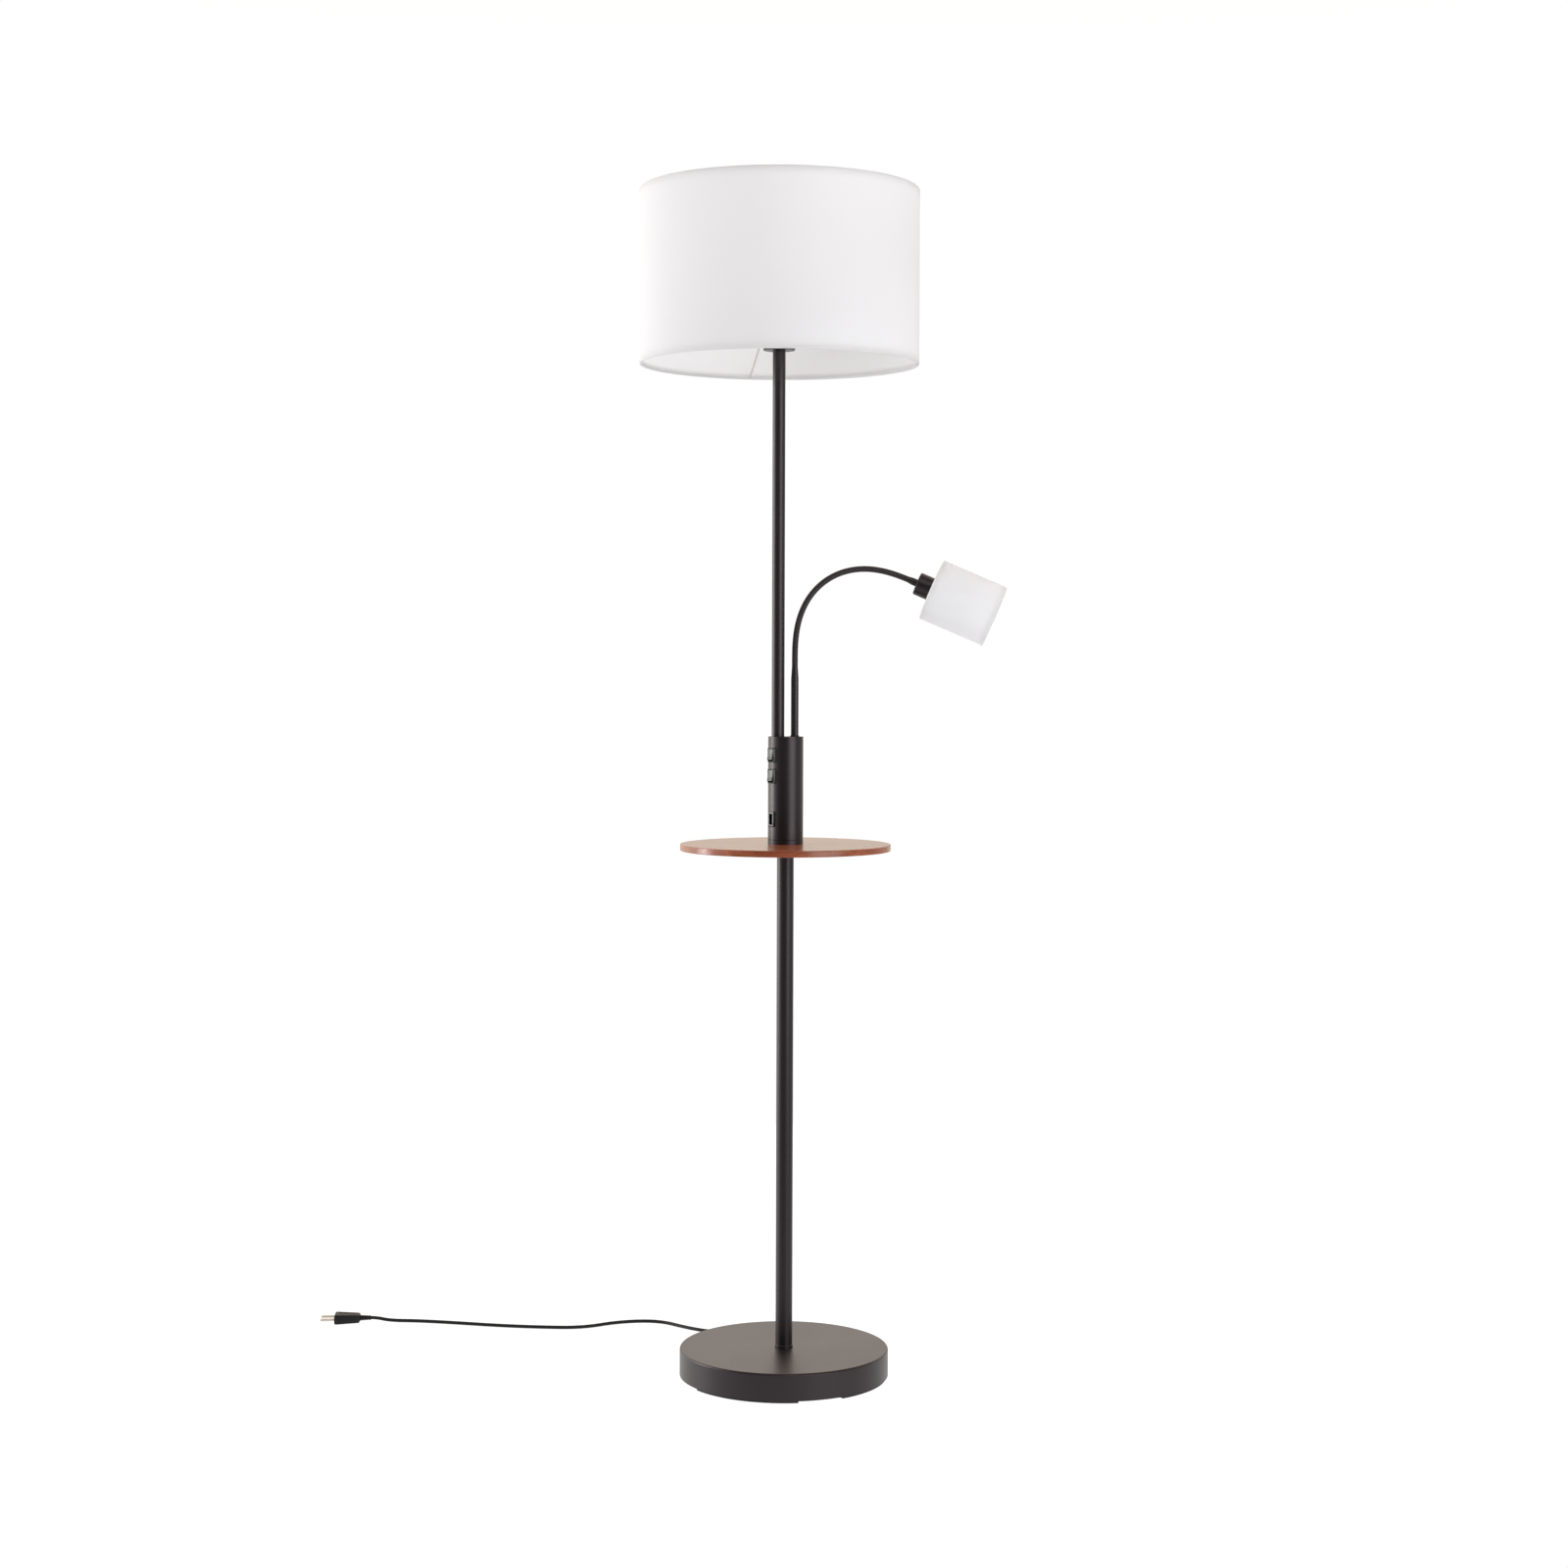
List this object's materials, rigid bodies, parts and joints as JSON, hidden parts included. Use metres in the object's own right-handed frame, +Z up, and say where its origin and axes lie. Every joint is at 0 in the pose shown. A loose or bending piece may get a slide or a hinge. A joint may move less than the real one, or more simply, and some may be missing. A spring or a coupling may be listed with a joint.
{
  "type": "shelf floor lamp",
  "caption": "Floor lamp on a round weighted base, with a pole through a round wooden shelf, a switch housing with a charging socket, a drum shade and a bendable reading arm.",
  "frame": {"origin": "centre of the round base, on the floor", "axes": "+Z up along the lower pole, +X the way the reading arm reaches, -Y the front"},
  "size_m": [0.8979, 0.4429, 1.478],
  "materials": {
    "black_metal": "matte powder coat",
    "hose_metal": "satin black",
    "iron": "rough casting",
    "steel": "plated",
    "rubber": "matte",
    "walnut": "satin lacquered veneer",
    "switch_plastic": "satin",
    "board": "matte",
    "holder_plastic": "matte",
    "shade_fabric": "fine plain weave",
    "cap_brass": "plated",
    "bulb_glass": "frosted",
    "cord_plastic": "satin"
  },
  "bodies": {
    "lamp": {"arm_stem": "black_metal", "base_cover": "black_metal", "base_feet": "rubber", "base_plate": "steel", "base_weight": "iron", "bulb_cap": "cap_brass", "bulb_globe": "bulb_glass", "coil_tie": "cord_plastic", "cord_gland": "rubber", "drum_shade": "shade_fabric", "gooseneck_root": "hose_metal", "hex_nuts": "steel", "housing_foot": "black_metal", "housing_lid": "black_metal", "housing_tube": "black_metal", "inner_cables": "cord_plastic", "lampholder_body": "holder_plastic", "lampholder_cap": "black_metal", "lower_pole": "black_metal", "lower_switch_body": "switch_plastic", "mains_cord_coil": "cord_plastic", "mains_cord_lead": "cord_plastic", "mains_cord_run": "cord_plastic", "plug_body": "cord_plastic", "plug_pins": "cap_brass", "pole_foot_ring": "black_metal", "pole_inserts": "steel", "shade_clamp_rings": "holder_plastic", "shade_frame": "steel", "shade_top_ring": "steel", "shelf": "walnut", "stem_gasket": "rubber", "threaded_nipples": "steel", "upper_pole": "black_metal", "upper_switch_body": "switch_plastic", "usb_bezel": "switch_plastic", "usb_power_board": "board", "usb_shell": "steel"},
    "upper_rocker": {"upper_switch_rocker": "switch_plastic"},
    "lower_rocker": {"lower_switch_rocker": "switch_plastic"},
    "neck_1": {"gooseneck_link_01": "hose_metal"},
    "neck_2": {"gooseneck_link_02": "hose_metal"},
    "neck_3": {"gooseneck_link_03": "hose_metal"},
    "neck_4": {"gooseneck_link_04": "hose_metal"},
    "neck_5": {"gooseneck_link_05": "hose_metal"},
    "neck_6": {"gooseneck_link_06": "hose_metal"},
    "neck_7": {"gooseneck_link_07": "hose_metal"},
    "neck_8": {"gooseneck_link_08": "hose_metal"},
    "neck_9": {"gooseneck_link_09": "hose_metal"},
    "reading_head": {"gooseneck_end": "hose_metal", "arm_ferrule": "black_metal", "reading_bulb_cap": "cap_brass", "reading_bulb_globe": "bulb_glass", "reading_carrier": "steel", "reading_clamp_ring": "holder_plastic", "reading_cup": "black_metal", "reading_front_ring": "steel", "reading_holder": "holder_plastic", "reading_shade": "shade_fabric"}
  },
  "joints": [
    {"name": "upper_switch_tip", "type": "hinge", "parent": "lamp", "child": "upper_rocker", "pos_m": [-0.01585, -0.0122, 0.7743], "axis": [0.6101, -0.7923, 0], "range_deg": [0, 20]},
    {"name": "lower_switch_tip", "type": "hinge", "parent": "lamp", "child": "lower_rocker", "pos_m": [-0.01585, -0.0122, 0.748], "axis": [0.6101, -0.7923, 0], "range_deg": [0, 20]},
    {"name": "neck_bend_1", "type": "hinge", "parent": "lamp", "child": "neck_1", "pos_m": [0.0111, 0, 0.89672], "axis": [0.0958, 0.9954, 0], "range_deg": [-12, 10]},
    {"name": "neck_sway_1", "type": "hinge", "parent": "neck_1", "child": "neck_2", "pos_m": [0.01207, -0.00009, 0.91915], "axis": [0.9898, -0.0953, -0.1063], "range_deg": [-14, 14]},
    {"name": "neck_bend_2", "type": "hinge", "parent": "neck_2", "child": "neck_3", "pos_m": [0.01584, -0.00046, 0.94125], "axis": [0.0958, 0.9954, 0], "range_deg": [-12, 10]},
    {"name": "neck_sway_2", "type": "hinge", "parent": "neck_3", "child": "neck_4", "pos_m": [0.02385, -0.00123, 0.96216], "axis": [0.878, -0.0845, -0.4712], "range_deg": [-14, 14]},
    {"name": "neck_bend_3", "type": "hinge", "parent": "neck_4", "child": "neck_5", "pos_m": [0.03669, -0.00246, 0.98045], "axis": [0.0958, 0.9954, 0], "range_deg": [-12, 10]},
    {"name": "neck_sway_3", "type": "hinge", "parent": "neck_5", "child": "neck_6", "pos_m": [0.05398, -0.00413, 0.99456], "axis": [0.5125, -0.0493, -0.8573], "range_deg": [-14, 14]},
    {"name": "neck_bend_4", "type": "hinge", "parent": "neck_6", "child": "neck_7", "pos_m": [0.07449, -0.0061, 1.00327], "axis": [0.0958, 0.9954, 0], "range_deg": [-12, 10]},
    {"name": "neck_sway_4", "type": "hinge", "parent": "neck_7", "child": "neck_8", "pos_m": [0.09659, -0.00823, 1.00619], "axis": [0.0135, -0.0013, -0.9999], "range_deg": [-14, 14]},
    {"name": "neck_bend_5", "type": "hinge", "parent": "neck_8", "child": "neck_9", "pos_m": [0.11877, -0.01037, 1.00387], "axis": [0.0958, 0.9954, 0], "range_deg": [-12, 10]},
    {"name": "neck_sway_5", "type": "hinge", "parent": "neck_9", "child": "reading_head", "pos_m": [0.14039, -0.01245, 0.99805], "axis": [-0.3042, 0.0293, -0.9522], "range_deg": [-14, 14]}
  ],
  "couplings": [
    {"joint": "neck_bend_2", "follows": "neck_bend_1", "ratio": 1},
    {"joint": "neck_sway_2", "follows": "neck_sway_1", "ratio": 1},
    {"joint": "neck_bend_3", "follows": "neck_bend_1", "ratio": 1},
    {"joint": "neck_sway_3", "follows": "neck_sway_1", "ratio": 1},
    {"joint": "neck_bend_4", "follows": "neck_bend_1", "ratio": 1},
    {"joint": "neck_sway_4", "follows": "neck_sway_1", "ratio": 1},
    {"joint": "neck_bend_5", "follows": "neck_bend_1", "ratio": 1},
    {"joint": "neck_sway_5", "follows": "neck_sway_1", "ratio": 1}
  ]
}
